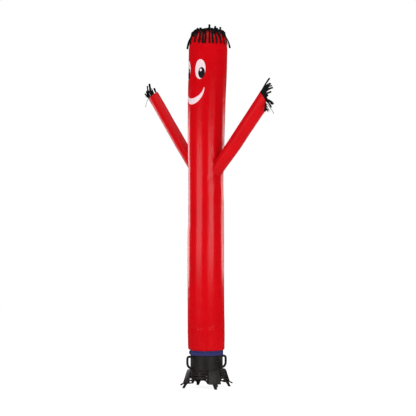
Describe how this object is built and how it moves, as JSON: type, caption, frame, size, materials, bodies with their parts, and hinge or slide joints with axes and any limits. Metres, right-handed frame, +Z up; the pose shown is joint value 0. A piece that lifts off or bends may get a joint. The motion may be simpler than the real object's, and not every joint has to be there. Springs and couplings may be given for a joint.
{
  "type": "inflatable air dancer on a blower",
  "caption": "Tall red inflatable tube figure with two raised open arms, black strip hair and hands and a printed smile, strapped upright on a round black blower with legs.",
  "frame": {"origin": "middle of the four feet, on the ground", "axes": "+Z up along the tube, the printed face looks along -Y, the arms reach along +X and -X"},
  "size_m": [1.7599, 0.507, 3.3879],
  "materials": {
    "red_cloth": "thin coated ripstop nylon, slightly glossy, with a printed face on the front",
    "black_strips": "matt black nylon cut into strips",
    "blue_webbing": "woven strap webbing, ribbed",
    "black_plastic": "moulded black plastic with a fine grain",
    "black_rubber": "matt rubber"
  },
  "bodies": {
    "root": {"body_tube": "red_cloth", "arm_plus_x": "red_cloth", "arm_minus_x": "red_cloth", "hair_fringe": "black_strips", "hand_fringe_plus_x": "black_strips", "hand_fringe_minus_x": "black_strips", "hem_strap": "blue_webbing", "strap_buckle": "black_plastic", "blower_housing": "black_plastic", "base_skirt": "black_plastic", "leg_1": "black_plastic", "leg_2": "black_plastic", "leg_3": "black_plastic", "leg_4": "black_plastic", "foot_1": "black_rubber", "foot_2": "black_rubber", "foot_3": "black_rubber", "foot_4": "black_rubber", "tie_tab_1": "black_plastic", "tie_tab_2": "black_plastic", "tie_tab_3": "black_plastic", "tie_tab_4": "black_plastic", "handle_1": "black_plastic", "handle_2": "black_plastic", "intake_guard": "black_plastic", "cord_gland": "black_rubber"}
  },
  "joints": []
}
